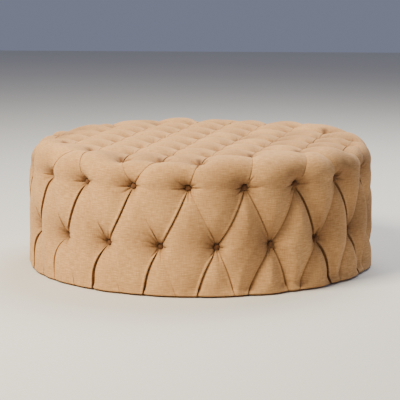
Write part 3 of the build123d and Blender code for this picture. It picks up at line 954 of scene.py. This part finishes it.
def weld(made):
    """Join the seams between cells and folds, and turn all faces outwards."""
    mesh = bmesh.new()
    mesh.from_mesh(made.data)
    bmesh.ops.remove_doubles(mesh, verts=mesh.verts, dist=WELD_DISTANCE)
    bmesh.ops.recalc_face_normals(mesh, faces=mesh.faces)
    mesh.to_mesh(made.data)
    mesh.free()


def set_weave_and_shade(made, uvs, shades):
    """Give each point of a mesh its place in the weave, and its painted shade."""
    loops = np.empty(len(made.data.loops), dtype=np.int32)
    made.data.loops.foreach_get("vertex_index", loops)
    layer = made.data.uv_layers.new(name="weave")
    layer.data.foreach_set("uv", uvs[loops].astype(np.float32).ravel())
    shade = made.data.attributes.new("shade", "FLOAT", "POINT")
    shade.data.foreach_set("value", shades.astype(np.float32))


def make_cover():
    cover = Cover()
    squares = grid_squares(top_grid())
    loop = rim_loop(squares)
    cells = square_cells(squares) + rim_cells(loop, rim_links(loop)) + side_cells()
    across = folds_across(cells)
    for index, cell in enumerate(cells):
        add_cell(cover, cell, across[index])
    add_folds(cover)
    points, faces = np.concatenate(cover.points), np.concatenate(cover.faces)
    made = make_object("linen_cover", points.tolist(), faces.tolist())
    set_weave_and_shade(made, np.concatenate(cover.uvs), np.concatenate(cover.shades))
    weld(made)
    smooth(made)
    return made


# Covered buttons

def button_rings():
    """Radius and height of each ring of a covered button, from its back to its crown."""
    rings = [(BUTTON_RADIUS, -BUTTON_BACK)]
    for turn in np.linspace(0.0, pi / 2, BUTTON_RINGS)[:-1]:
        radius = BUTTON_RADIUS * cos(turn) ** BUTTON_CROWN_POWER
        rings.append((radius, BUTTON_HEIGHT * sin(turn)))
    return rings


def add_button(points, faces, place):
    """Add a covered button in its well, facing straight out of the linen."""
    seat = Vector(cover_points(place, BUTTON_SINK))
    up = Vector(outward(place))
    across = up.orthogonal().normalized()
    side = up.cross(across)
    start = len(points)
    rings = button_rings()
    for radius, height in rings:
        for number in range(BUTTON_SIDES):
            turn = 2 * pi * number / BUTTON_SIDES
            spot = across * (radius * cos(turn)) + side * (radius * sin(turn))
            points.append(tuple(seat + spot + up * height))
    crown = len(points)
    points.append(tuple(seat + up * BUTTON_HEIGHT))
    for low in range(start, crown, BUTTON_SIDES):
        high = low + BUTTON_SIDES
        for number in range(BUTTON_SIDES):
            after = (number + 1) % BUTTON_SIDES
            if high == crown:
                faces.append((low + number, low + after, crown))
            else:
                faces.append((low + number, low + after, high + after, high + number))


def make_buttons(name, places):
    points, faces = [], []
    for place in places:
        add_button(points, faces, place)
    made = make_object(name, points, faces)
    x, y, z = np.array(points).T
    uvs = np.stack([x + y, z + y], axis=-1)
    # Each button is darkened by the same painted shade
    set_weave_and_shade(made, uvs, np.full(len(points), BUTTON_SHADE))
    smooth(made)
    return made


# Materials. A noise's scale is about how many of its marks there are in a metre.

WHITE = (1.0, 1.0, 1.0, 1.0)

# Linen: its surface, and the layers of noise that are multiplied into its colour, which
# are weft, warp, specks and broad patches. Each layer is its scales across and down, its
# detail, the range of its ramp, and the colours at the low and high end of that range.
LINEN_SURFACE = {
    "Roughness": 0.9,
    "Specular IOR Level": 0.2,
    "Sheen Weight": 0.12,
    "Sheen Tint": (1.0, 0.85, 0.65, 1.0),
    "Sheen Roughness": 0.6,
}
LINEN_LAYERS = [
    ((40.0, 330.0), 3.0, (0.32, 0.68), (0.55, 0.286, 0.106, 1.0), (0.82, 0.468, 0.204, 1.0)),
    ((330.0, 40.0), 3.0, (0.32, 0.68), (0.80, 0.77, 0.72, 1.0), WHITE),
    ((700.0, 700.0), 2.0, (0.3, 0.7), (0.88, 0.87, 0.85, 1.0), WHITE),
    ((9.0, 9.0), 2.0, (0.3, 0.7), (0.92, 0.91, 0.9, 1.0), WHITE),
]
LINEN_NOISE_ROUGHNESS = 0.6
# The colour by which full painted shade multiplies the linen
LINEN_SHADED = (0.14, 0.075, 0.045, 1.0)
LINEN_BUMP = {"Strength": 0.5, "Distance": 0.0006}
LINEN_BUMP_SCALES = ((120.0, 1500.0), (1500.0, 120.0))
LINEN_BUMP_DETAIL = 2.0

# Other finishes: colour, roughness, scale of the mottling, how much darker the dark
# parts of it are, and how metallic it is
FINISHES = {
    "foam": ((0.80, 0.72, 0.50), 0.95, 300.0, 0.1, 0.0),
    "plywood": ((0.60, 0.44, 0.27), 0.7, 12.0, 0.3, 0.0),
    "softwood": ((0.68, 0.52, 0.32), 0.7, 20.0, 0.3, 0.0),
    "twine": ((0.66, 0.60, 0.48), 0.8, 900.0, 0.3, 0.0),
    "steel": ((0.55, 0.55, 0.57), 0.4, 300.0, 0.1, 1.0),
    "black_cloth": ((0.022, 0.022, 0.024), 0.95, 700.0, 0.5, 0.0),
    "nylon": ((0.03, 0.03, 0.03), 0.5, 200.0, 0.2, 0.0),
}
FLOOR_FINISH = ((0.62, 0.60, 0.57), 0.8, 3.0, 0.03, 0.0)
MOTTLE_DETAIL = 4.0
MOTTLE_BUMP = {"Strength": 0.2, "Distance": 0.0005}


class Shading:
    """A new material, its nodes, and the ways in which they are joined here."""

    def __init__(self, name):
        self.material = bpy.data.materials.new(name)
        self.material.use_nodes = True
        self.nodes = self.material.node_tree.nodes
        self.join = self.material.node_tree.links.new
        self.surface = self.nodes["Principled BSDF"]

    def add(self, kind, values):
        node = self.nodes.new(kind)
        for name, value in values.items():
            node.inputs[name].default_value = value
        return node

    def noise(self, vector, values):
        node = self.add("ShaderNodeTexNoise", values)
        self.join(vector, node.inputs["Vector"])
        return node.outputs["Fac"]

    def ramp(self, value, dark, light, ends=(0.0, 1.0)):
        """A colour that runs from dark to light as a value runs between two ends."""
        node = self.nodes.new("ShaderNodeValToRGB")
        for element, end, colour in zip(node.color_ramp.elements, ends, (dark, light)):
            element.position = end
            element.color = colour
        self.join(value, node.inputs["Fac"])
        return node.outputs["Color"]

    def mix(self, mode, first, second):
        node = self.nodes.new("ShaderNodeMix")
        node.data_type = "RGBA"
        node.blend_type = mode
        node.inputs["Factor"].default_value = 1.0
        self.join(first, node.inputs["A"])
        self.join(second, node.inputs["B"])
        return node.outputs["Result"]

    def finish(self, colour, height, bump_values):
        """Give the surface its colour and its bumps."""
        self.join(colour, self.surface.inputs["Base Color"])
        bump = self.add("ShaderNodeBump", bump_values)
        self.join(height, bump.inputs["Height"])
        self.join(bump.outputs["Normal"], self.surface.inputs["Normal"])
        return self.material


def linen():
    """Natural linen: uneven yarns both ways, with thick slubs, a soft sheen and painted shade.
    """
    shading = Shading("linen")
    for name, value in LINEN_SURFACE.items():
        shading.surface.inputs[name].default_value = value
    place = shading.nodes.new("ShaderNodeUVMap")
    place.uv_map = "weave"

    def streaks(scales, detail):
        mapping = shading.add("ShaderNodeMapping", {"Scale": (*scales, 1.0)})
        shading.join(place.outputs["UV"], mapping.inputs["Vector"])
        values = {"Scale": 1.0, "Detail": detail, "Roughness": LINEN_NOISE_ROUGHNESS}
        return shading.noise(mapping.outputs["Vector"], values)

    # The shade attribute paints shade into the colour, from none at 0 to LINEN_SHADED at 1
    depth = shading.nodes.new("ShaderNodeAttribute")
    depth.attribute_name = "shade"
    colour = shading.ramp(depth.outputs["Fac"], WHITE, LINEN_SHADED)
    for scales, detail, ends, dark, light in LINEN_LAYERS:
        layer = shading.ramp(streaks(scales, detail), dark, light, ends)
        colour = shading.mix("MULTIPLY", colour, layer)
    weft, warp = [streaks(scales, LINEN_BUMP_DETAIL) for scales in LINEN_BUMP_SCALES]
    return shading.finish(colour, shading.mix("ADD", weft, warp), LINEN_BUMP)


def plain(name, colour, roughness, scale, contrast, metallic):
    """A mottled material for the pieces underneath and inside."""
    shading = Shading(name)
    shading.surface.inputs["Roughness"].default_value = roughness
    shading.surface.inputs["Metallic"].default_value = metallic
    place = shading.nodes.new("ShaderNodeTexCoord")
    noise = shading.noise(place.outputs["Object"], {"Scale": scale, "Detail": MOTTLE_DETAIL})
    dark = (*[part * (1.0 - contrast) for part in colour], 1.0)
    return shading.finish(shading.ramp(noise, dark, (*colour, 1.0)), noise, MOTTLE_BUMP)


# The ottoman

def declare(made, slot, *nodes):
    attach(made, "root")
    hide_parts(*nodes)


linen_material = linen()
cover = make_cover()
cover.data.materials.append(linen_material)
declare(cover, "linen", "tufted_cover")

rows = {
    "top_buttons": [grid_place(corner) for corner in sorted(top_grid())],
    "upper_buttons": [upper_place(number) for number in range(SIDE_BUTTONS)],
    "lower_buttons": [lower_place(number) for number in range(SIDE_BUTTONS)],
}
for name, places in rows.items():
    buttons = make_buttons("covered_" + name, places)
    buttons.data.materials.append(linen_material)
    declare(buttons, "linen", name)

finishes = {slot: plain(slot, *values) for slot, values in FINISHES.items()}
slots = {subpart["node"]: subpart["material_slot"] for subpart in frame["record"]["subparts"]}
for node, made in frame["nodes"].items():
    made.data.materials.clear()
    made.data.materials.append(finishes.get(slots[node], linen_material))


# Floor, lights and camera

# The photograph's camera
CAMERA_DISTANCE = 5.256
CAMERA_HEIGHT = 1.1243
CAMERA_LENS = 140.85
CAMERA_SENSOR = 36.0
CAMERA_PITCH = 9.92
CAMERA_YAW = 0.037

# Lights: energy, size, bearing, reach, height, the height they aim at, and colour
LIGHTS = {
    "key": (446.0, 1.5, -45.0, 2.9, 3.5, 0.2, (1.0, 0.90, 0.675)),
    "top": (200.0, 2.2, 158.0, 2.1, 3.4, 0.3, (1.0, 1.0, 0.96)),
    "fill": (9.0, 1.5, 85.0, 3.0, 2.0, 0.2, (0.70, 0.80, 1.0)),
}
WORLD = {"Color": (0.80, 0.88, 1.22, 1.0), "Strength": 0.225}
FLOOR_REACH = 9.0


def make_floor():
    sides = [(-1.0, -1.0), (1.0, -1.0), (1.0, 1.0), (-1.0, 1.0)]
    corners = [(x * FLOOR_REACH, y * FLOOR_REACH, 0.0) for x, y in sides]
    floor = make_object("studio_floor", corners, [(0, 1, 2, 3)])
    floor.data.materials.append(plain("floor", *FLOOR_FINISH))


def make_camera():
    data = bpy.data.cameras.new("camera")
    data.lens = CAMERA_LENS
    data.sensor_width = CAMERA_SENSOR
    camera = bpy.data.objects.new("camera", data)
    bpy.context.scene.collection.objects.link(camera)
    turn = radians(PHOTO_BEARING + CAMERA_YAW)
    camera.location = (*plan_point(CAMERA_DISTANCE, PHOTO_BEARING), CAMERA_HEIGHT)
    camera.rotation_euler = Euler((pi / 2 - radians(CAMERA_PITCH), 0.0, turn))
    bpy.context.scene.camera = camera


def make_light(name, energy, size, bearing, reach, height, aim_height, colour):
    data = bpy.data.lights.new(name, "AREA")
    data.energy = energy
    data.size = size
    data.color = colour
    light = bpy.data.objects.new(name, data)
    bpy.context.scene.collection.objects.link(light)
    light.location = (*plan_point(reach, bearing), height)
    toward = Vector((0.0, 0.0, aim_height)) - light.location
    light.rotation_euler = toward.to_track_quat("-Z", "Y").to_euler()


def make_world():
    world = bpy.data.worlds.new("studio")
    world.use_nodes = True
    for name, value in WORLD.items():
        world.node_tree.nodes["Background"].inputs[name].default_value = value
    bpy.context.scene.world = world


make_floor()
make_camera()
for name, values in LIGHTS.items():
    make_light(name, *values)
make_world()
